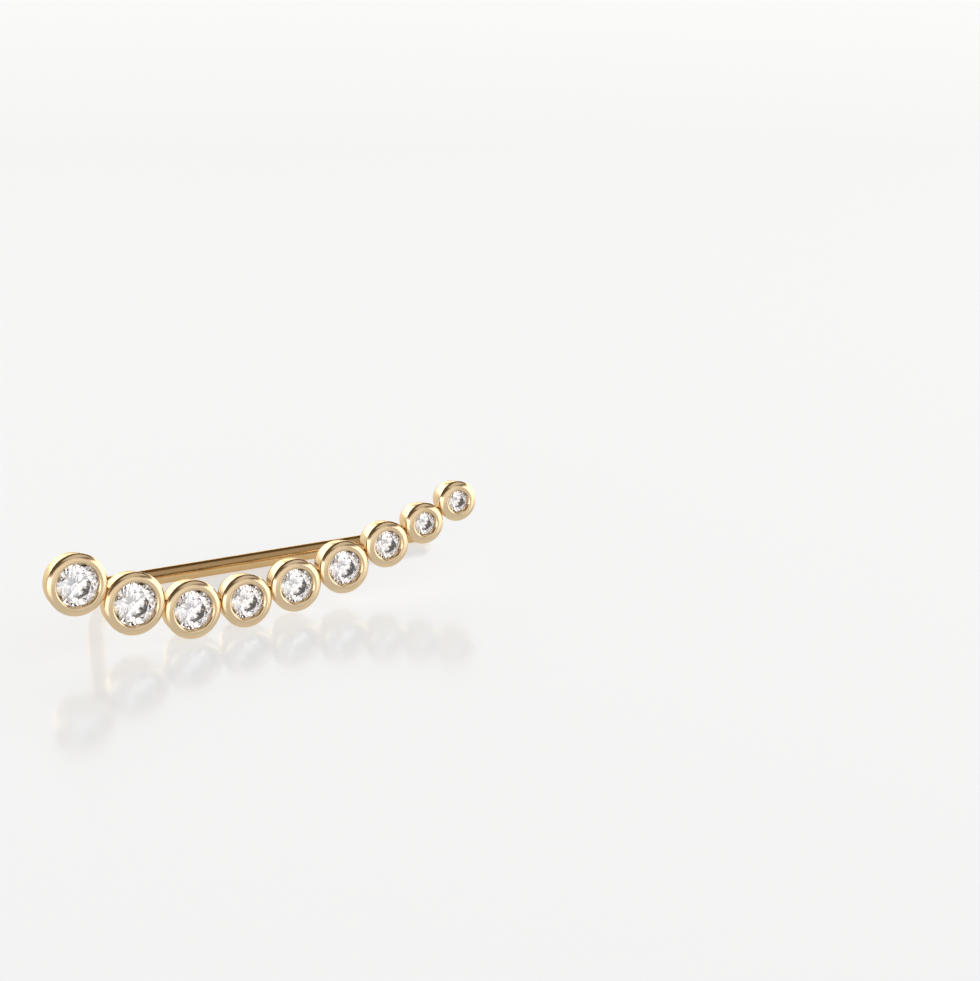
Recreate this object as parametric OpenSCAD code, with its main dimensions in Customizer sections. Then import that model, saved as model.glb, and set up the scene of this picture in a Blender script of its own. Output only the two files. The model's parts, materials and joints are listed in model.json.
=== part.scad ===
// Ear climber: nine round stones in gold cups, soldered in a row that follows a shallow crescent,
// with one straight ear wire soldered behind the first two cups.
// Millimetres. +X runs along the row from the largest cup to the smallest, +Y points back
// towards the ear wire, +Z is up. The origin is on the floor under the middle of the piece.

/* [Stones] */
// Diameter of stone 1, at the high end of the row
stone_1_d = 2.15; // [1.9:0.05:2.3]
// Diameter of stone 2
stone_2_d = 2.2; // [1.9:0.05:2.3]
// Diameter of stone 3
stone_3_d = 2; // [1.8:0.05:2.2]
// Diameter of stone 4
stone_4_d = 1.75; // [1.6:0.05:2]
// Diameter of stone 5
stone_5_d = 1.75; // [1.6:0.05:2]
// Diameter of stone 6
stone_6_d = 1.75; // [1.6:0.05:2]
// Diameter of stone 7
stone_7_d = 1.45; // [1.3:0.05:1.7]
// Diameter of stone 8
stone_8_d = 1.2; // [1.1:0.05:1.4]
// Diameter of stone 9, by the wire's tip
stone_9_d = 1.15; // [1.1:0.05:1.4]

/* [Crescent] */
// Height of cup 1 above cups 3 and 4, which the row stands on
lift_1 = 2.23; // [1.9:0.01:2.3]
// Height of cup 2
lift_2 = 0.76; // [0.5:0.01:0.8]
// Height of cup 5
lift_5 = 0.25; // [0:0.01:0.3]
// Height of cup 6
lift_6 = 0.64; // [0.3:0.01:0.7]
// Height of cup 7
lift_7 = 1.47; // [1.1:0.01:1.6]
// Height of cup 8
lift_8 = 2.26; // [1.9:0.01:2.4]
// Height of cup 9
lift_9 = 3.05; // [2.7:0.01:3.2]
// Space between the rims of neighbouring cups, which solder behind them bridges
joint_gap = 0.03; // [0.01:0.01:0.06]
// Radius of the drop of solder behind each joint, as a share of its two cups' radii together
solder_share = 0.11; // [0.09:0.01:0.12]
// Depth of the solder's middle behind the front of the rims
solder_depth = 0.6; // [0.5:0.05:0.7]

/* [Cups] */
// Width of gold between a stone's visible edge and the outside of its cup
wall = 0.46; // [0.4:0.02:0.6]
// How far the rim reaches over the edge of the stone
rim_cover = 0.05; // [0.03:0.01:0.08]
// Radius of the rim's domed front, as a share of the wall
dome_share = 0.74; // [0.54:0.01:0.8]
// Depth of a cup's side, from the front of the rim
side_depth = 1.05; // [0.9:0.05:1.2]
// How far the side tapers in from the rim to the base
side_taper = 0.1; // [0:0.02:0.2]
// Depth of a whole cup, with its tapered base
cup_depth = 1.38; // [1.35:0.01:1.6]
// How far the base tapers in from the end of the side
base_taper = 0.12; // [0.05:0.01:0.2]
// Depth of the stone's edge behind the front of the rim
stone_depth = 0.32; // [0.3:0.01:0.36]
// Clear space between a stone and its cup
seat_gap = 0.03; // [0.02:0.005:0.05]
// Width of the open hole at the back of a cup, as a share of its stone
back_hole_share = 0.45; // [0.3:0.05:0.6]

/* [Stone cut] */
// Width of the table across its corners, as a share of the stone
table_share = 0.57; // [0.5:0.01:0.65]
// Slope of the facets between the table and the edge
crown_angle = 34.5; // [30:0.5:36]
// Slope of the facets under the edge
pavilion_angle = 40.75; // [39:0.25:41]
// Thickness of the stone's edge, as a share of the stone
edge_share = 0.03; // [0.02:0.01:0.04]
// How far down the pavilion its lower facets reach
lower_share = 0.77; // [0.7:0.01:0.85]

/* [Ear wire] */
// Thickness of the ear wire
wire_d = 0.8; // [0.7:0.05:0.9]
// Radius of the wire's bend, at its centre line
bend_r = 2.55; // [2:0.05:3]
// Angle that the wire turns through
bend_angle = 78; // [70:1:90]
// Straight post between the cups and the bend
post_len = 4.25; // [4:0.05:4.4]
// Straight run from the bend to the middle of the round tip
run_len = 15.1; // [13:0.1:15.5]
// How much the run nears the row towards its tip
toe_in = 5; // [3:0.1:6]
// Slope of the wire's own plane to the row's axes
wire_dip = 12.9; // [12:0.1:14]
// Place along the row where the bend's corner would be, from the middle cup
corner_x = -7.88; // [-7.95:0.01:-7.8]
// Distance of the bend's corner behind the front of the row
corner_y = 7.02; // [6.8:0.01:7.2]

/* [Rest] */
// How far the row leans back on the floor
lean = 10.4; // [10:0.1:11]

/* [Hidden] */
$fn = 64;

stone_d = [
    stone_1_d, stone_2_d, stone_3_d, stone_4_d, stone_5_d,
    stone_6_d, stone_7_d, stone_8_d, stone_9_d
];
lift = [lift_1, lift_2, 0, 0, lift_5, lift_6, lift_7, lift_8, lift_9];
last = len(stone_d) - 1;
middle = 4;

// Radius of the opening in a rim, and of the outside of its cup
function open_r(i) = stone_d[i] / 2 - rim_cover;
function cup_r(i) = open_r(i) + wall;

// Height of a cup's centre in the plane of the row
function cup_z(i) = cup_r(i) + lift[i];

// Step along the row from one cup to the next
function step(i) = sqrt(pow(cup_r(i) + cup_r(i + 1) + joint_gap, 2) - pow(cup_z(i + 1) - cup_z(i), 2));
function steps_to(i) = i == 0 ? 0 : steps_to(i - 1) + step(i - 1);
function cup_x(i) = steps_to(i) - steps_to(middle);

// The rim's domed front: its radius, half of its arc in degrees, and its flats
dome_r = dome_share * wall;
dome_half = asin(wall / 2 / dome_r);
dome_drop = dome_r * (1 - cos(dome_half));
rim_steps = 8;

// Levels in a cup, measured from the front of the rim
edge_top = -stone_depth;
function edge_bottom(i) = edge_top - edge_share * stone_d[i];
rim_under = edge_top + rim_cover * tan(crown_angle) + seat_gap;
function foot_r(i) = cup_r(i) - side_taper;
function hole_r(i) = back_hole_share * stone_d[i] / 2;
function seat_bottom(i) = edge_bottom(i) - seat_gap / cos(pavilion_angle)
    - (stone_d[i] / 2 + seat_gap - hole_r(i)) * tan(pavilion_angle);

// The bend's corner is this far from where the bend starts and ends
corner_len = bend_r * tan(bend_angle / 2);

// Height of the row's own axes above the floor once it leans. The wire's run turns by level_turn in the
// row's axes, so that it lies on the same floor along its whole length.
row_lift = max(dome_drop * sin(lean), side_depth * sin(lean) - side_taper * cos(lean));
level_turn = atan(sin(toe_in) * tan(lean));
corner_z = (wire_d / 2 - row_lift + corner_y * sin(lean)) / cos(lean);

// The origin is under the middle of the whole piece
origin_x = (cup_x(0) - cup_r(0) + cup_x(last) + cup_r(last)) / 2;
front_y = wall / 2 * sin(lean);
run_y = corner_y - corner_len * sin(toe_in) * cos(level_turn);
run_z = corner_z - corner_len * sin(level_turn);
back_y = run_y * cos(lean) + run_z * sin(lean) + wire_d / 2;
origin_y = (front_y + back_y) / 2;

module in_pose() {
    translate([-origin_x, -origin_y, row_lift])
        rotate([-lean, 0, 0])
            children();
}

// Puts a piece that was drawn facing up at the front of cup i, facing the viewer
module at_cup(i) {
    translate([cup_x(i), 0, cup_z(i)])
        rotate([90, 0, 0])
            children();
}

// Half of a cup's section, from the axis outwards, with the front of the rim at height 0
function rim_arc(i) = [
    for (k = [0:rim_steps])
        let (turn = 90 - dome_half + 2 * dome_half * k / rim_steps)
        [open_r(i) + wall / 2 + dome_r * cos(turn), dome_r * sin(turn) - dome_r]
];
function seat_arc(i) = let (bore_r = stone_d[i] / 2 + seat_gap) [
    [open_r(i), rim_under],
    [bore_r, rim_under],
    [bore_r, edge_bottom(i) - seat_gap / cos(pavilion_angle)],
    [hole_r(i), seat_bottom(i)],
    [hole_r(i), -cup_depth]
];

module cup(i) {
    rotate_extrude()
        polygon(concat(
            rim_arc(i), seat_arc(i),
            [[foot_r(i) - base_taper, -cup_depth], [foot_r(i), -side_depth]]
        ));
}

// Solder in the groove between cup i and the next, with its poles inside the two cups
module solder(i) {
    step_x = cup_x(i + 1) - cup_x(i);
    step_z = cup_z(i + 1) - cup_z(i);
    along = (cup_r(i) + joint_gap / 2) / (cup_r(i) + cup_r(i + 1) + joint_gap);
    translate([cup_x(i) + along * step_x, solder_depth, cup_z(i) + along * step_z])
        rotate([0, atan2(step_x, step_z), 0])
            sphere(r = solder_share * (cup_r(i) + cup_r(i + 1)));
}

// Post, bend and run lie in one plane: the run along +X, the corner at the origin
module ear_wire() {
    translate([corner_x, corner_y, corner_z])
        rotate([0, level_turn, -toe_in])
            rotate([-wire_dip, 0, 0]) {
                translate([corner_len, 0, 0])
                    rotate([0, 90, 0])
                        cylinder(d = wire_d, h = run_len);
                translate([corner_len + run_len, 0, 0])
                    sphere(d = wire_d);
                translate([corner_len, -bend_r, 0])
                    rotate([0, 0, 90]) {
                        rotate_extrude(angle = bend_angle)
                            translate([bend_r, 0])
                                circle(d = wire_d);
                        rotate([0, 0, bend_angle])
                            translate([bend_r, 0, 0])
                                rotate([-90, 0, 0])
                                    cylinder(d = wire_d, h = post_len);
                    }
            }
}

module setting() {
    color("#d9b36c")
        in_pose() {
            for (i = [0:last])
                at_cup(i) cup(i);
            for (i = [0:last - 1])
                solder(i);
            ear_wire();
        }
}

// Corners of a round brilliant of radius 1, front up, with the top of its edge at height 0
function ring(count, r, z, turn = 0) =
    [for (k = [0:count - 1]) [r * cos(turn + 360 * k / count), r * sin(turn + 360 * k / count), z]];
star_r = (table_share * cos(22.5) + 1) / 2;
lower_r = 1 - lower_share;
function crown_z(r, off) = (1 - r * cos(off)) * tan(crown_angle);
function pavilion_z(r, off) = -2 * edge_share - (1 - r * cos(off)) * tan(pavilion_angle);
brilliant_points = concat(
    ring(8, table_share, crown_z(table_share, 0)),
    ring(8, star_r, crown_z(star_r, 22.5), 22.5),
    ring(16, 1, 0),
    ring(16, 1, -2 * edge_share),
    ring(8, lower_r, pavilion_z(lower_r, 22.5), 22.5),
    [[0, 0, pavilion_z(0, 0)]]
);

// Index of corner k in each ring, counted round
function table_at(k) = (k + 8) % 8;
function star_at(k) = 8 + (k + 8) % 8;
function edge_at(k) = 16 + (k + 16) % 16;
function under_at(k) = 32 + (k + 16) % 16;
function lower_at(k) = 48 + (k + 8) % 8;
culet = 56;
brilliant_faces = concat(
    [[for (k = [7:-1:0]) table_at(k)]],
    [for (k = [0:7]) [table_at(k), table_at(k + 1), star_at(k)]],
    [for (k = [0:7]) [table_at(k), star_at(k), edge_at(2 * k), star_at(k - 1)]],
    [for (k = [0:7]) [star_at(k), edge_at(2 * k + 1), edge_at(2 * k)]],
    [for (k = [0:7]) [star_at(k), edge_at(2 * k + 2), edge_at(2 * k + 1)]],
    [for (k = [0:15]) [edge_at(k), edge_at(k + 1), under_at(k + 1), under_at(k)]],
    [for (k = [0:7]) [lower_at(k), under_at(2 * k), under_at(2 * k + 1)]],
    [for (k = [0:7]) [lower_at(k), under_at(2 * k + 1), under_at(2 * k + 2)]],
    [for (k = [0:7]) [culet, lower_at(k - 1), under_at(2 * k), lower_at(k)]]
);

module stone(i) {
    color("#eef0f6")
        in_pose()
            at_cup(i)
                translate([0, 0, edge_top])
                    scale(stone_d[i] / 2)
                        polyhedron(points = brilliant_points, faces = brilliant_faces);
}

module stone_1() { stone(0); }
module stone_2() { stone(1); }
module stone_3() { stone(2); }
module stone_4() { stone(3); }
module stone_5() { stone(4); }
module stone_6() { stone(5); }
module stone_7() { stone(6); }
module stone_8() { stone(7); }
module stone_9() { stone(8); }

setting();
stone_1();
stone_2();
stone_3();
stone_4();
stone_5();
stone_6();
stone_7();
stone_8();
stone_9();
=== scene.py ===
import json
from math import atan, atan2, cos, pi, radians, sin, tan

import bmesh
import bpy
from mathutils import Matrix, Vector

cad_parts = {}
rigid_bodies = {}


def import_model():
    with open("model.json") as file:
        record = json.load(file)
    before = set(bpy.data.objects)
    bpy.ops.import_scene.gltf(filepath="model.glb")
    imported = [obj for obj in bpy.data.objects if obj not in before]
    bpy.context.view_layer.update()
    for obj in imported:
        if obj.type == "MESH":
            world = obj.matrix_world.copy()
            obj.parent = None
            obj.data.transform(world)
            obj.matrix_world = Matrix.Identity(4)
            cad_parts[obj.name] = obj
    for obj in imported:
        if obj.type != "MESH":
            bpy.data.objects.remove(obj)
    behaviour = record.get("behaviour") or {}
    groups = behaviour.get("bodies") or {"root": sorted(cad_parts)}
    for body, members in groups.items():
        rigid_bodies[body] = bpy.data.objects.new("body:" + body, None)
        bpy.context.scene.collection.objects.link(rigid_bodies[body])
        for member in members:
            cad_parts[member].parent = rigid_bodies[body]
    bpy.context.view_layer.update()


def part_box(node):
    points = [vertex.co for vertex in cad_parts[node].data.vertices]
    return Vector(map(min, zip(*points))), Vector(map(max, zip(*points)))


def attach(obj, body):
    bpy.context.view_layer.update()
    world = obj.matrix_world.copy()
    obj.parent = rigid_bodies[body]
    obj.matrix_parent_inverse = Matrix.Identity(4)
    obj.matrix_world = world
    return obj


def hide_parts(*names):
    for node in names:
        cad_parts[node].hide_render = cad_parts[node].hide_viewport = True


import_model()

# Looks of the ear climber: a row of polished gold cups with an ear wire behind, round brilliants in
# the cups, a pale floor and soft light. Everything is in metres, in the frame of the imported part.
MM = 0.001

# How the piece lies: the row leans back on the floor by this angle
LEAN = radians(10.4)
ALONG = Vector((1, 0, 0))
BACK = Vector((0, cos(LEAN), -sin(LEAN)))
UP = Vector((0, sin(LEAN), cos(LEAN)))

STONES = ["stone_%d" % k for k in range(1, 10)]
MIDDLE_STONE = "stone_5"
LOWEST_STONE = "stone_4"

# Stone cut: the table's and the edge's shares of the width, the lower facets' share of the way from
# the edge to the point, and the slopes of crown and pavilion
TABLE_SHARE = 0.57
EDGE_SHARE = 0.03
LOWER_SHARE = 0.77
CROWN_SLOPE = tan(radians(34.5))
PAVILION_SLOPE = tan(radians(40.75))

# Rim of a cup: how far it covers the stone, its crest's distance from the opening, and how far it
# rolls back on its outside and at the lip
WALL = 0.46 * MM
RIM_COVER = 0.05 * MM
RIM_CREST = 0.25 * WALL
RIM_ROLL = 0.5 * WALL
RIM_LIP = 0.25 * WALL
RIM_STEPS = 40

# Seat, side and back of a cup. Depths are from the front of the rim.
STONE_DEPTH = 0.32 * MM
SEAT_GAP = 0.03 * MM
SIDE_DEPTH = 1.05 * MM
SIDE_TAPER = 0.1 * MM
CUP_DEPTH = 1.38 * MM
BASE_TAPER = 0.12 * MM
BACK_HOLE_SHARE = 0.45
SOFT_EDGE = 0.02 * MM
SOFT_EDGE_STEPS = 6
CUP_SIDES = 128

# Solder between cups: the space it fills, how deep it sits, and its half sizes across the joint,
# along it and into the depth, as shares of the two cups' radii together
JOINT_GAP = 0.03 * MM
SOLDER_DEPTH = 0.6 * MM
SOLDER_SIZE = (0.11, 0.11, 0.11)
DROP_RINGS = 32

# Ear wire: its corner is measured from the row's start, along the row and back from the rims
WIRE_R = 0.4 * MM
CORNER_X = -7.88 * MM
CORNER_Y = 7.02 * MM
BEND_R = 2.55 * MM
BEND_ANGLE = radians(78)
POST_LEN = 4.25 * MM
RUN_LEN = 15.1 * MM
TOE_IN = radians(5)
WIRE_DIP = radians(12.9)
WIRE_SIDES = 48
BEND_STEPS = 40
TIP_STEPS = 12
TIP_END_GIRTH = 0.001

# Points of a mesh nearer than this are one, and edges sharper than this stay sharp
SAME_POINT = 1e-7
SHARP_ANGLE = radians(32)


# Places

def stone_radius(node):
    low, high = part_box(node)
    return (high.x - low.x) / 2


def girdle_centre(node):
    """Centre of the front of a stone's edge, worked out from the CAD node's box."""
    low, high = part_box(node)
    r = stone_radius(node)
    depth = 2 * EDGE_SHARE * r + PAVILION_SLOPE * r
    z = (low.z + high.z + 2 * EDGE_SHARE * r * sin(LEAN)) / 2
    return Vector(((low.x + high.x) / 2, high.y - depth * cos(LEAN), z))


def rim_centre(node):
    return girdle_centre(node) - BACK * STONE_DEPTH


def cup_radius(node):
    return stone_radius(node) - RIM_COVER + WALL


def facing_place(node):
    """Puts what was drawn facing +Z, with its front at height 0, at the front of a cup."""
    axes = Matrix((ALONG, UP, -BACK)).transposed()
    return Matrix.Translation(rim_centre(node)) @ axes.to_4x4()


# The row's own axes, along it, back from the rims and up from the lowest cup's foot, start below
# the middle cup
ROW_START = rim_centre(LOWEST_STONE) - UP * cup_radius(LOWEST_STONE)
ROW_START.x = rim_centre(MIDDLE_STONE).x


def in_row(x, y, z):
    return ROW_START + ALONG * x + BACK * y + UP * z


# Shader maths

class Term:
    """A socket that shader maths is written with."""

    def __init__(self, finish, socket):
        self.finish = finish
        self.socket = socket

    def maths(self, operation, first, second):
        node = self.finish.add("ShaderNodeMath", {"operation": operation}, {0: first, 1: second})
        return Term(self.finish, node.outputs[0])

    def __add__(self, other):
        return self.maths("ADD", self, other)

    def __sub__(self, other):
        return self.maths("SUBTRACT", self, other)

    def __rsub__(self, other):
        return self.maths("SUBTRACT", other, self)

    def __mul__(self, other):
        return self.maths("MULTIPLY", self, other)

    __radd__ = __add__
    __rmul__ = __mul__


class Finish:
    """A node tree with one way of adding nodes: settings first, then the values or links of sockets."""

    def __init__(self, tree):
        self.tree = tree
        tree.nodes.clear()

    def add(self, kind, settings=None, inputs=None):
        node = self.tree.nodes.new(kind)
        for name, value in (settings or {}).items():
            if name == "stops":
                self.set_stops(node.color_ramp, value)
            else:
                setattr(node, name, value)
        for name, value in (inputs or {}).items():
            self.feed(node.inputs[name], value)
        return node

    def feed(self, socket, value):
        if isinstance(value, Term):
            value = value.socket
        if isinstance(value, bpy.types.NodeSocket):
            self.tree.links.new(value, socket)
        else:
            socket.default_value = value

    def set_stops(self, ramp, stops):
        while len(ramp.elements) < len(stops):
            ramp.elements.new(0.5)
        for element, (place, colour) in zip(ramp.elements, stops):
            element.position = place
            element.color = (*colour, 1)

    def value(self, kind, output, settings=None, inputs=None):
        return Term(self, self.add(kind, settings, inputs).outputs[output])

    def noise(self, place, waves, detail, roughness):
        """Noise with this many waves to the metre."""
        return self.value("ShaderNodeTexNoise", "Fac", None,
                          {"Vector": place, "Scale": waves, "Detail": detail, "Roughness": roughness})


def new_material(name):
    material = bpy.data.materials.new(name)
    material.use_nodes = True
    return material, Finish(material.node_tree)


# Golds, each with its tone, the deeper tone that it drifts to, and its tone seen edge on
CUP_GOLD = ((0.885, 0.71, 0.475, 1), (0.815, 0.62, 0.375, 1), (0.96, 0.82, 0.6, 1))
# The wire's gold is the cups' gold made darker and browner: painted shade for the wire's darker look
WIRE_SHADED_GOLD = ((0.82, 0.58, 0.3, 1), (0.74, 0.48, 0.22, 1), (0.93, 0.76, 0.48, 1))

# Polish of the gold: how high its surface rolls and how much of that shows, how much the haze adds
# to it, and its dullness, without the haze and from it
ROLL_HEIGHT = 0.012 * MM
ROLL_STRENGTH = 0.2
HAZE_RELIEF = 0.12
POLISH_ROUGHNESS = 0.16
HAZE_ROUGHNESS = 0.1

# Painted fire: faint tints of the stones' facets standing in for light split into colours, each with
# its place among the facets' marks, and the steps of these marks from facet to facet and, counted in
# facets, from stone to stone
PAINTED_FIRE_TINTS = [(0.0, (0.94, 0.95, 1.0)), (0.35, (1.0, 1.0, 1.0)),
               (0.65, (0.97, 0.93, 1.0)), (1.0, (1.0, 0.97, 0.94))]
FACET_STEP = 0.618034
STONE_STEPS = 7


def polished_gold(name, tones):
    """Gold with a polisher's fine haze: broad tone drift, a rolling hand-worked surface, fine grain in
    its bumps and dullness.
    """
    tint, deep_tint, edge_tint = tones
    material, finish = new_material(name)
    place = finish.value("ShaderNodeTexCoord", "Object")
    drift = finish.noise(place, waves=700.0, detail=3.0, roughness=0.5)
    haze = finish.noise(place, waves=5200.0, detail=5.0, roughness=0.62)
    rolls = finish.noise(place, waves=1900.0, detail=2.0, roughness=0.4)
    tone = finish.add("ShaderNodeMix", {"data_type": "RGBA"}, {"Factor": drift, 6: deep_tint, 7: tint})
    bump = finish.add("ShaderNodeBump", None, {
        "Strength": ROLL_STRENGTH, "Distance": ROLL_HEIGHT, "Height": rolls + haze * HAZE_RELIEF})
    surface = finish.add("ShaderNodeBsdfPrincipled", None, {
        "Base Color": tone.outputs[2], "Metallic": 1.0,
        "Roughness": haze * HAZE_ROUGHNESS + POLISH_ROUGHNESS,
        "Specular Tint": edge_tint, "Normal": bump.outputs["Normal"]})
    finish.add("ShaderNodeOutputMaterial", None, {"Surface": surface.outputs[0]})
    return material


def brilliant_stone():
    """A colourless stone: clear, strongly bending light, with faint tints from facet to facet as
    painted fire.
    """
    material, finish = new_material("brilliant_stone")
    facet = finish.value("ShaderNodeAttribute", "Fac", {"attribute_name": "facet"})
    # Painted fire: a faint colour for each facet, in place of light split into colours
    tint = finish.add("ShaderNodeValToRGB", {"stops": PAINTED_FIRE_TINTS}, {"Fac": facet})
    surface = finish.add("ShaderNodeBsdfPrincipled", None, {
        "Base Color": tint.outputs[0], "Roughness": 0.05, "IOR": 2.42, "Transmission Weight": 1.0})
    finish.add("ShaderNodeOutputMaterial", None, {"Surface": surface.outputs[0]})
    return material


GOLD_FINISH = polished_gold("polished_gold", CUP_GOLD)
# The wire's finish is the same gold with painted shade: a darker, browner copy of the cups' gold
WIRE_SHADED_FINISH = polished_gold("wire_gold", WIRE_SHADED_GOLD)
STONE_FINISH = brilliant_stone()


# Meshes and geometry node trees

def face_outwards(mesh):
    """Merges points in one place and turns all faces outwards."""
    work = bmesh.new()
    work.from_mesh(mesh)
    bmesh.ops.remove_doubles(work, verts=work.verts, dist=SAME_POINT)
    bmesh.ops.recalc_face_normals(work, faces=work.faces)
    work.to_mesh(mesh)
    work.free()


def add_object(name, data):
    added = bpy.data.objects.new(name, data)
    bpy.context.scene.collection.objects.link(added)
    return added


def seat_piece(piece, node):
    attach(piece, "root")
    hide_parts(node)


class Maker:
    """A geometry node tree with named inputs, which a modifier sets by their identifiers."""

    def __init__(self, name, inputs):
        self.tree = bpy.data.node_groups.new(name, "GeometryNodeTree")
        face = self.tree.interface
        face.new_socket("Geometry", in_out="INPUT", socket_type="NodeSocketGeometry")
        self.keys = {}
        for label, kind in inputs.items():
            self.keys[label] = face.new_socket(label, in_out="INPUT", socket_type=kind).identifier
        face.new_socket("Geometry", in_out="OUTPUT", socket_type="NodeSocketGeometry")
        self.given = self.tree.nodes.new("NodeGroupInput")
        self.result = self.tree.nodes.new("NodeGroupOutput")

    def add(self, kind, settings=None, inputs=None):
        node = self.tree.nodes.new(kind)
        for name, value in (settings or {}).items():
            setattr(node, name, value)
        for name, value in (inputs or {}).items():
            if isinstance(value, bpy.types.NodeSocket):
                self.tree.links.new(value, node.inputs[name])
            else:
                node.inputs[name].default_value = value
        return node

    def input(self, label):
        return self.given.outputs[label]

    def mark(self, label):
        """The numbers that the guide's points carry under this name."""
        return self.add("GeometryNodeInputNamedAttribute", {"data_type": "FLOAT"},
                        {"Name": label}).outputs["Attribute"]

    def finish(self, geometry):
        smooth = self.add("GeometryNodeSetShadeSmooth", None, {"Geometry": geometry})
        real = self.add("GeometryNodeRealizeInstances", None, {"Geometry": smooth.outputs[0]})
        dressed = self.add("GeometryNodeSetMaterial", None,
                           {"Geometry": real.outputs[0], "Material": self.input("Material")})
        self.tree.links.new(dressed.outputs[0], self.result.inputs[0])

    def make(self, name, guide, values, place):
        """The tree's result on a guide mesh, as a plain mesh object with its place in its mesh."""
        carrier = add_object(name + "_guide", guide)
        modifier = carrier.modifiers.new("make", "NODES")
        modifier.node_group = self.tree
        for label, value in values.items():
            modifier[self.keys[label]] = value
        evaluated = carrier.evaluated_get(bpy.context.evaluated_depsgraph_get())
        mesh = bpy.data.meshes.new_from_object(evaluated)
        bpy.data.objects.remove(carrier)
        mesh.transform(place)
        face_outwards(mesh)
        mesh.set_sharp_from_angle(angle=SHARP_ANGLE)
        mesh.name = name
        return add_object(name, mesh)


def guide_mesh(name, points, edges, marks):
    """Points and edges for a tree to build on. marks holds, by name, one number for each point."""
    mesh = bpy.data.meshes.new(name)
    mesh.from_pydata([tuple(p) for p in points], edges, [])
    for label, numbers in marks.items():
        mesh.attributes.new(label, "FLOAT", "POINT").data.foreach_set("value", numbers)
    return mesh


def guide_line(name, points, closed=False, **marks):
    count = len(points)
    edges = [(k, (k + 1) % count) for k in range(count if closed else count - 1)]
    return guide_mesh(name, points, edges, marks)


# Cups

def rounded(corners):
    """Corner points (x, y, radius) as one closed outline, with an arc at each corner with a radius."""
    outline = []
    for k, (x, y, r) in enumerate(corners):
        here = Vector((x, y))
        if not r:
            outline.append(here)
            continue
        before = (Vector(corners[k - 1][:2]) - here).normalized()
        after = (Vector(corners[(k + 1) % len(corners)][:2]) - here).normalized()
        half = before.angle(after) / 2
        centre = here + (before + after).normalized() * (r / sin(half))
        first = here + before * (r / tan(half)) - centre
        last = here + after * (r / tan(half)) - centre
        step = first.angle_signed(last) / SOFT_EDGE_STEPS
        outline += [centre + first @ Matrix.Rotation(step * s, 2) for s in range(SOFT_EDGE_STEPS + 1)]
    return [Vector((p.x, p.y, 0)) for p in outline]


def rim_point(angle):
    """Point of the rim's polished front: its outside at +90 degrees, its crest at 0, its lip at -90."""
    if angle > 0:
        return RIM_CREST + (WALL - RIM_CREST) * sin(angle), RIM_ROLL * (1 - cos(angle))
    return RIM_CREST * (1 + sin(angle)), RIM_LIP * (1 - cos(angle))


def cup_section(node):
    """A cup's section: x is outwards from the opening's edge, y the depth from the front of the rim."""
    r = stone_radius(node)
    bore = RIM_COVER + SEAT_GAP
    hole = BACK_HOLE_SHARE * r - (r - RIM_COVER)
    under = STONE_DEPTH - RIM_COVER * CROWN_SLOPE - SEAT_GAP
    edge = STONE_DEPTH + 2 * EDGE_SHARE * r + SEAT_GAP
    seat = edge + (bore - hole) * PAVILION_SLOPE
    foot = WALL - SIDE_TAPER
    corners = [(*rim_point(pi / 2 - pi * s / RIM_STEPS), 0) for s in range(RIM_STEPS + 1)]
    corners += [(0, under, 0), (bore, under, 0), (bore, edge, 0), (hole, seat, 0),
                (hole, CUP_DEPTH, SOFT_EDGE), (foot - BASE_TAPER, CUP_DEPTH, 2 * SOFT_EDGE),
                (foot, SIDE_DEPTH, 4 * SOFT_EDGE)]
    return rounded(corners)


def cup_maker():
    """Turns a section about an axis: the section runs round a circle of the opening's radius."""
    maker = Maker("cup", {"Opening Radius": "NodeSocketFloat", "Sides": "NodeSocketInt",
                          "Material": "NodeSocketMaterial"})
    section = maker.add("GeometryNodeMeshToCurve", None, {"Mesh": maker.input("Geometry")})
    circle = maker.add("GeometryNodeCurvePrimitiveCircle", None,
                       {"Resolution": maker.input("Sides"), "Radius": maker.input("Opening Radius")})
    turned = maker.add("GeometryNodeCurveToMesh", None,
                       {"Curve": circle.outputs[0], "Profile Curve": section.outputs[0]})
    maker.finish(turned.outputs[0])
    return maker


def make_cups():
    maker = cup_maker()
    for node in STONES:
        section = guide_line("cup_section", cup_section(node), closed=True)
        values = {"Opening Radius": stone_radius(node) - RIM_COVER, "Sides": CUP_SIDES,
                  "Material": GOLD_FINISH}
        cup = maker.make(node.replace("stone", "cup"), section, values, facing_place(node))
        seat_piece(cup, "setting")


# Solder

def solder_maker():
    """Puts a smooth drop of solder at each point of the guide, turned as the two cups lie there."""
    maker = Maker("solder", {"Drop Size": "NodeSocketVector", "Rings": "NodeSocketInt",
                             "Material": "NodeSocketMaterial"})
    drop = maker.add("GeometryNodeMeshUVSphere", None,
                     {"Segments": maker.input("Rings"), "Rings": maker.input("Rings"), "Radius": 1.0})
    about = maker.add("ShaderNodeCombineXYZ", None, {"Z": maker.mark("turn")})
    rotation = maker.add("FunctionNodeEulerToRotation", None, {"Euler": about.outputs[0]})
    size = maker.add("ShaderNodeVectorMath", {"operation": "SCALE"},
                     {"Vector": maker.input("Drop Size"), "Scale": maker.mark("girth")})
    drops = maker.add("GeometryNodeInstanceOnPoints", None,
                      {"Points": maker.input("Geometry"), "Instance": drop.outputs["Mesh"],
                       "Rotation": rotation.outputs[0], "Scale": size.outputs[0]})
    maker.finish(drops.outputs[0])
    return maker


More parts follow.
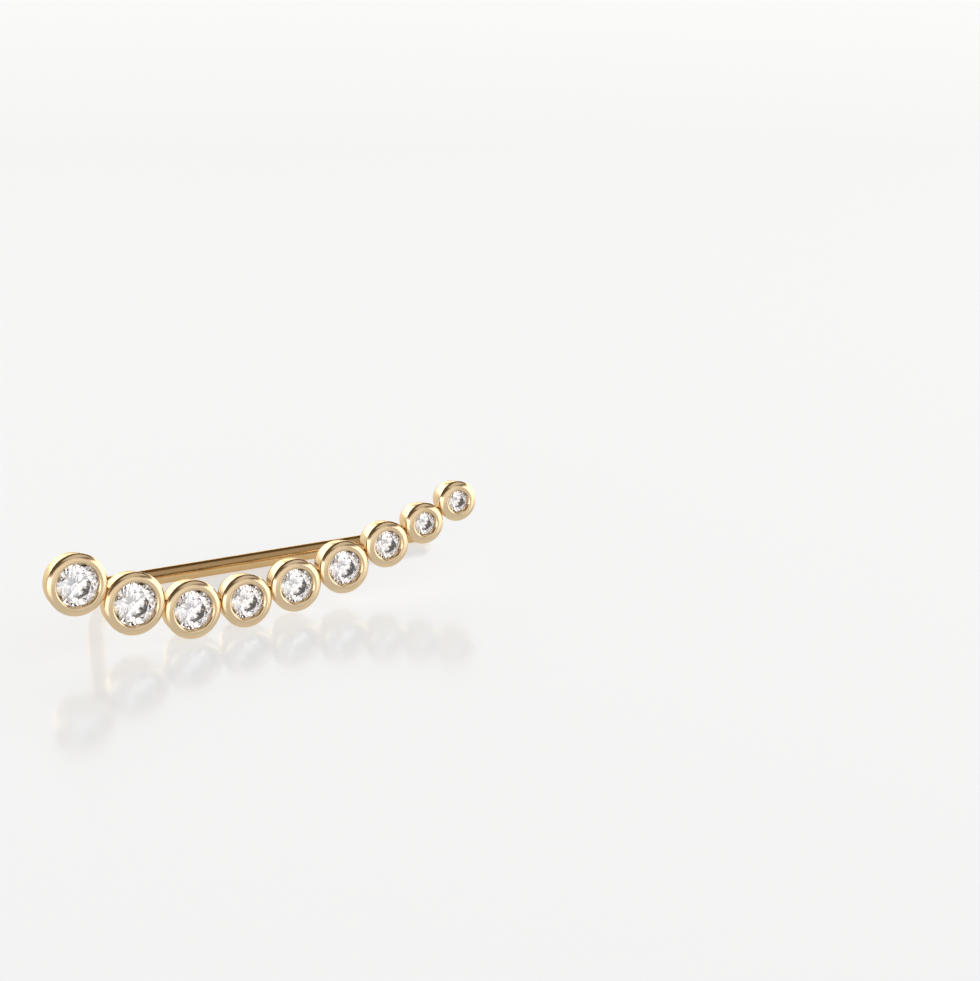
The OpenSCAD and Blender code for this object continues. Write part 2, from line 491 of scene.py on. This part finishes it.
def make_solder():
    """Solder in the grooves between neighbouring cups, about half way down their sides."""
    start = facing_place(STONES[0])
    points, turns, girths = [], [], []
    for node, after in zip(STONES, STONES[1:]):
        step = rim_centre(after) - rim_centre(node)
        groove = (cup_radius(node) + JOINT_GAP / 2) / step.length
        point = rim_centre(node) + step * groove + BACK * SOLDER_DEPTH
        points.append(start.inverted() @ point)
        turns.append(atan2(step.dot(UP), step.dot(ALONG)))
        girths.append(cup_radius(node) + cup_radius(after))
    guide = guide_mesh("solder_points", points, [], {"turn": turns, "girth": girths})
    values = {"Drop Size": SOLDER_SIZE, "Rings": DROP_RINGS, "Material": GOLD_FINISH}
    seat_piece(solder_maker().make("solder", guide, values, start), "setting")


# Ear wire

def wire_maker():
    """Bends a wire along a route with one corner. Its tip is round where the route's girth shrinks."""
    maker = Maker("wire", {"Wire Radius": "NodeSocketFloat", "Bend Radius": "NodeSocketFloat",
                           "Bend Steps": "NodeSocketInt", "Sides": "NodeSocketInt",
                           "Material": "NodeSocketMaterial"})
    route = maker.add("GeometryNodeMeshToCurve", None, {"Mesh": maker.input("Geometry")})
    bent = maker.add("GeometryNodeFilletCurve", {"mode": "POLY"},
                     {"Curve": route.outputs[0], "Count": maker.input("Bend Steps"),
                      "Radius": maker.input("Bend Radius"), "Limit Radius": True})
    round_wire = maker.add("GeometryNodeCurvePrimitiveCircle", None,
                           {"Resolution": maker.input("Sides"), "Radius": maker.input("Wire Radius")})
    drawn = maker.add("GeometryNodeCurveToMesh", None,
                      {"Curve": bent.outputs[0], "Profile Curve": round_wire.outputs[0],
                       "Scale": maker.mark("girth"), "Fill Caps": True})
    maker.finish(drawn.outputs[0])
    return maker


def wire_route():
    """Points of the post's end, the corner, the run's end and the round tip, and the girth at each
    as a share of the wire's own."""
    # The run is turned level with the floor, though the row leans
    level = atan(sin(TOE_IN) * tan(LEAN))
    turn = (Matrix.Rotation(-TOE_IN, 3, "Z") @ Matrix.Rotation(level, 3, "Y")
            @ Matrix.Rotation(-WIRE_DIP, 3, "X"))
    run = turn @ Vector((1, 0, 0))
    post = turn @ Vector((-cos(BEND_ANGLE), -sin(BEND_ANGLE), 0))

    # It lies on the floor, as the foot of the lowest cup does
    foot = SIDE_DEPTH * sin(LEAN) - SIDE_TAPER * cos(LEAN)
    corner_z = (WIRE_R - foot + CORNER_Y * sin(LEAN)) / cos(LEAN)
    corner = Vector((CORNER_X, CORNER_Y, corner_z))
    reach = BEND_R * tan(BEND_ANGLE / 2)
    tip = corner + run * (reach + RUN_LEN)
    points = [corner + post * (reach + POST_LEN), corner, tip]
    girths = [1.0, 1.0, 1.0]
    for s in range(1, TIP_STEPS + 1):
        angle = pi / 2 * s / TIP_STEPS
        points.append(tip + run * (WIRE_R * sin(angle)))
        girths.append(max(cos(angle), TIP_END_GIRTH))
    return [in_row(*p) for p in points], girths


def make_ear_wire():
    points, girths = wire_route()
    route = guide_line("ear_wire_route", points, girth=girths)
    values = {"Wire Radius": WIRE_R, "Bend Radius": BEND_R, "Bend Steps": BEND_STEPS,
              "Sides": WIRE_SIDES, "Material": WIRE_SHADED_FINISH}
    wire = wire_maker().make("ear_wire", route, values, Matrix.Identity(4))
    seat_piece(wire, "setting")


# Stones

def ring(count, r, z, turn=0.0):
    step = 2 * pi / count
    return [Vector((r * cos(turn + step * k), r * sin(turn + step * k), z)) for k in range(count)]


def brilliant():
    """Points and facets of a round brilliant of radius 1 that faces +Z, with the front of its edge
    at height 0."""
    off = radians(22.5)
    star_r = (TABLE_SHARE * cos(off) + 1) / 2
    lower_r = 1 - LOWER_SHARE
    table_z = (1 - TABLE_SHARE) * CROWN_SLOPE
    star_z = (1 - star_r * cos(off)) * CROWN_SLOPE
    under_z = -2 * EDGE_SHARE
    lower_z = under_z - (1 - lower_r * cos(off)) * PAVILION_SLOPE
    point_z = under_z - PAVILION_SLOPE
    points = ring(8, TABLE_SHARE, table_z) + ring(8, star_r, star_z, off) + ring(16, 1, 0)
    points += ring(16, 1, under_z) + ring(8, lower_r, lower_z, off) + [Vector((0, 0, point_z))]

    table = list(range(8))
    star = list(range(8, 16))
    edge = list(range(16, 32))
    low_edge = list(range(32, 48))
    lower = list(range(48, 56))
    point = 56
    facets = [table]
    for k in range(8):
        after = (k + 1) % 8
        here, half, ahead = 2 * k, 2 * k + 1, 2 * after
        facets += [[table[k], star[k], table[after]],
                   [table[k], star[k - 1], edge[here], star[k]],
                   [star[k], edge[here], edge[half]],
                   [star[k], edge[half], edge[ahead]],
                   [lower[k], low_edge[half], low_edge[here]],
                   [lower[k], low_edge[ahead], low_edge[half]],
                   [point, lower[k], low_edge[here], lower[k - 1]]]
    for k in range(16):
        after = (k + 1) % 16
        facets.append([edge[k], low_edge[k], low_edge[after], edge[after]])
    return points, facets


def make_stones():
    points, facets = brilliant()
    for number, node in enumerate(STONES):
        mesh = bpy.data.meshes.new(node + "_cut")
        mesh.from_pydata([p * stone_radius(node) for p in points], [], facets)
        mesh.transform(facing_place(node) @ Matrix.Translation((0, 0, -STONE_DEPTH)))
        # Marks that give each facet its own painted fire colour
        marks = [(FACET_STEP * (k + STONE_STEPS * number)) % 1 for k in range(len(facets))]
        mesh.attributes.new("facet", "FLOAT", "FACE").data.foreach_set("value", marks)
        mesh.materials.append(STONE_FINISH)
        face_outwards(mesh)
        seat_piece(add_object(node + "_cut", mesh), node)


# Floor, light and camera

# The floor: half its width, its grey, and its dullness, without its faint clouds and from them
FLOOR_HALF = 2.0
FLOOR_GREY = (0.42, 0.42, 0.42, 1)
FLOOR_ROUGHNESS = 0.13
CLOUD_ROUGHNESS = 0.03

# The floor's glow: its strength, its level in each colour, how it rises and bends over towards the
# camera, within limits, and the share of it that the piece mirrors
FLOOR_GLOW = 0.725
GLOW_LEVELS = {"Red": 0.755, "Green": 0.775, "Blue": 0.79}
TOWARDS_CAMERA = (-0.461, -0.887, 0.0)
GLOW_START = 0.015
GLOW_RISE = 1.1
GLOW_BEND = 5.2
GLOW_LEAST = -0.1
GLOW_MOST = 0.12
MIRRORED_SHARE = 0.87

# The room that the metal mirrors, and the backdrop that the camera sees
ROOM_LIGHT = (1.0, 0.72, 0.46, 1)
ROOM_GLOW = 0.11
BACKDROP_GLOW = 0.92
BOX_DISTANCE = 0.6

# The camera stands at this distance and angle from the point of the floor that it looks at, and
# draws nothing nearer than its nearest distance
SENSOR = 36.0
IMAGE_SIDE = 981
PIXELS_PER_METRE = 19000
VIEW_AZIMUTH = radians(27.44)
VIEW_ELEVATION = radians(22.9)
VIEW_DISTANCE = 0.158613
VIEW_TARGET = Vector((0.016491, 0.006091, 0))
NEAREST_DISTANCE = 0.005


def make_floor():
    """A white glossy table, lit evenly from inside, so that shadows and reflections on it are faint."""
    material, finish = new_material("pale_floor")
    place = finish.value("ShaderNodeTexCoord", "Object")
    cloud = finish.noise(place, waves=9.0, detail=2.0, roughness=0.4)
    near = finish.value("ShaderNodeVectorMath", "Value", {"operation": "DOT_PRODUCT"},
                        {0: place, 1: TOWARDS_CAMERA})
    slope = near * GLOW_RISE + GLOW_START - near * near * GLOW_BEND
    rise = slope.maths("MINIMUM", slope.maths("MAXIMUM", slope, GLOW_LEAST), GLOW_MOST)
    camera_looks = finish.value("ShaderNodeLightPath", "Is Camera Ray")
    seen = camera_looks * (1 - MIRRORED_SHARE) + MIRRORED_SHARE
    glow = finish.value("ShaderNodeCombineColor", 0, None, {
        colour: (rise + level) * seen for colour, level in GLOW_LEVELS.items()})
    surface = finish.add("ShaderNodeBsdfPrincipled", None, {
        "Base Color": FLOOR_GREY, "Roughness": cloud * CLOUD_ROUGHNESS + FLOOR_ROUGHNESS, "IOR": 1.8,
        "Emission Color": glow, "Emission Strength": FLOOR_GLOW})
    finish.add("ShaderNodeOutputMaterial", None, {"Surface": surface.outputs[0]})
    mesh = bpy.data.meshes.new("floor")
    corners = [(-FLOOR_HALF, -FLOOR_HALF, 0), (FLOOR_HALF, -FLOOR_HALF, 0),
               (FLOOR_HALF, FLOOR_HALF, 0), (-FLOOR_HALF, FLOOR_HALF, 0)]
    mesh.from_pydata(corners, [], [(0, 1, 2, 3)])
    mesh.materials.append(material)
    floor = add_object("floor", mesh)
    return floor


def make_world():
    """A dim room that the metal mirrors, which the camera itself sees as a pale backdrop."""
    world = bpy.data.worlds.new("studio")
    bpy.context.scene.world = world
    world.use_nodes = True
    finish = Finish(world.node_tree)
    seen = finish.value("ShaderNodeLightPath", "Is Camera Ray")
    room = finish.add("ShaderNodeBackground", None, {"Color": ROOM_LIGHT, "Strength": ROOM_GLOW})
    backdrop = finish.add("ShaderNodeBackground", None,
                          {"Color": (1, 1, 1, 1), "Strength": BACKDROP_GLOW})
    mixed = finish.add("ShaderNodeMixShader", None,
                       {0: seen, 1: room.outputs[0], 2: backdrop.outputs[0]})
    finish.add("ShaderNodeOutputWorld", None, {"Surface": mixed.outputs[0]})


def aim(thing, target, towards, distance):
    """Puts a lamp or camera at a distance from its target, in a direction, and turns it to face it."""
    thing.location = target + towards * distance
    thing.rotation_euler = (-towards).to_track_quat("-Z", "Y").to_euler()


def soft_box(name, azimuth, elevation, across, tall, brightness, only=None):
    """A soft box that the piece sees at an azimuth from +X towards +Y and an elevation, this many
    degrees across and tall. With only, it lights nothing but those objects."""
    light = bpy.data.lights.new(name, "AREA")
    light.shape = "RECTANGLE"
    light.size = 2 * BOX_DISTANCE * tan(radians(across / 2))
    light.size_y = 2 * BOX_DISTANCE * tan(radians(tall / 2))
    # This power makes the box look as bright as asked, whatever its size
    light.energy = pi * light.size * light.size_y * brightness
    lamp = add_object(name, light)
    a, e = radians(azimuth), radians(elevation)
    aim(lamp, Vector((0, 0, 0)), Vector((cos(a) * cos(e), sin(a) * cos(e), sin(e))), BOX_DISTANCE)
    lamp.visible_camera = False
    if only:
        receivers = bpy.data.collections.new(name + "_receivers")
        for receiver in only:
            receivers.objects.link(receiver)
        lamp.light_linking.receiver_collection = receivers


def make_lights(floor):
    cups = [o for o in bpy.data.objects if o.name.startswith(("cup_", "solder"))]
    stones = [o for o in bpy.data.objects if o.name.endswith("_cut")]
    wire = [bpy.data.objects["ear_wire"]]
    row = cups + stones
    piece = row + wire
    soft_box("right_box", -8, 13, 96, 26, 1.9)
    soft_box("left_box", 200, 12, 80, 22, 2.0)
    soft_box("top_box", -44, 62, 60, 46, 0.58, only=row + [floor])
    soft_box("front_box", -94, 14, 62, 44, 0.85, only=row)
    soft_box("wire_box", -44, 62, 60, 46, 0.36, only=wire)
    soft_box("back_left_box", 107, 13, 48, 26, 2.4, only=piece)
    soft_box("back_right_box", 63, 3.5, 42, 9, 2.7, only=piece)
    soft_box("stone_box", -80, 45, 110, 70, 0.45, only=stones)
    soft_box("floor_sheen", 62.6, 28, 95, 44, 0.95, only=[floor])


def make_camera():
    camera = bpy.data.cameras.new("camera")
    camera.sensor_width = SENSOR
    camera.lens = SENSOR * VIEW_DISTANCE * PIXELS_PER_METRE / IMAGE_SIDE
    camera.clip_start = NEAREST_DISTANCE
    holder = add_object("camera", camera)
    towards = Vector((-sin(VIEW_AZIMUTH) * cos(VIEW_ELEVATION),
                      -cos(VIEW_AZIMUTH) * cos(VIEW_ELEVATION), sin(VIEW_ELEVATION)))
    aim(holder, VIEW_TARGET, towards, VIEW_DISTANCE)
    bpy.context.scene.camera = holder


make_cups()
make_solder()
make_ear_wire()
make_stones()
make_lights(make_floor())
make_world()
make_camera()
bpy.context.scene.view_settings.view_transform = "Standard"
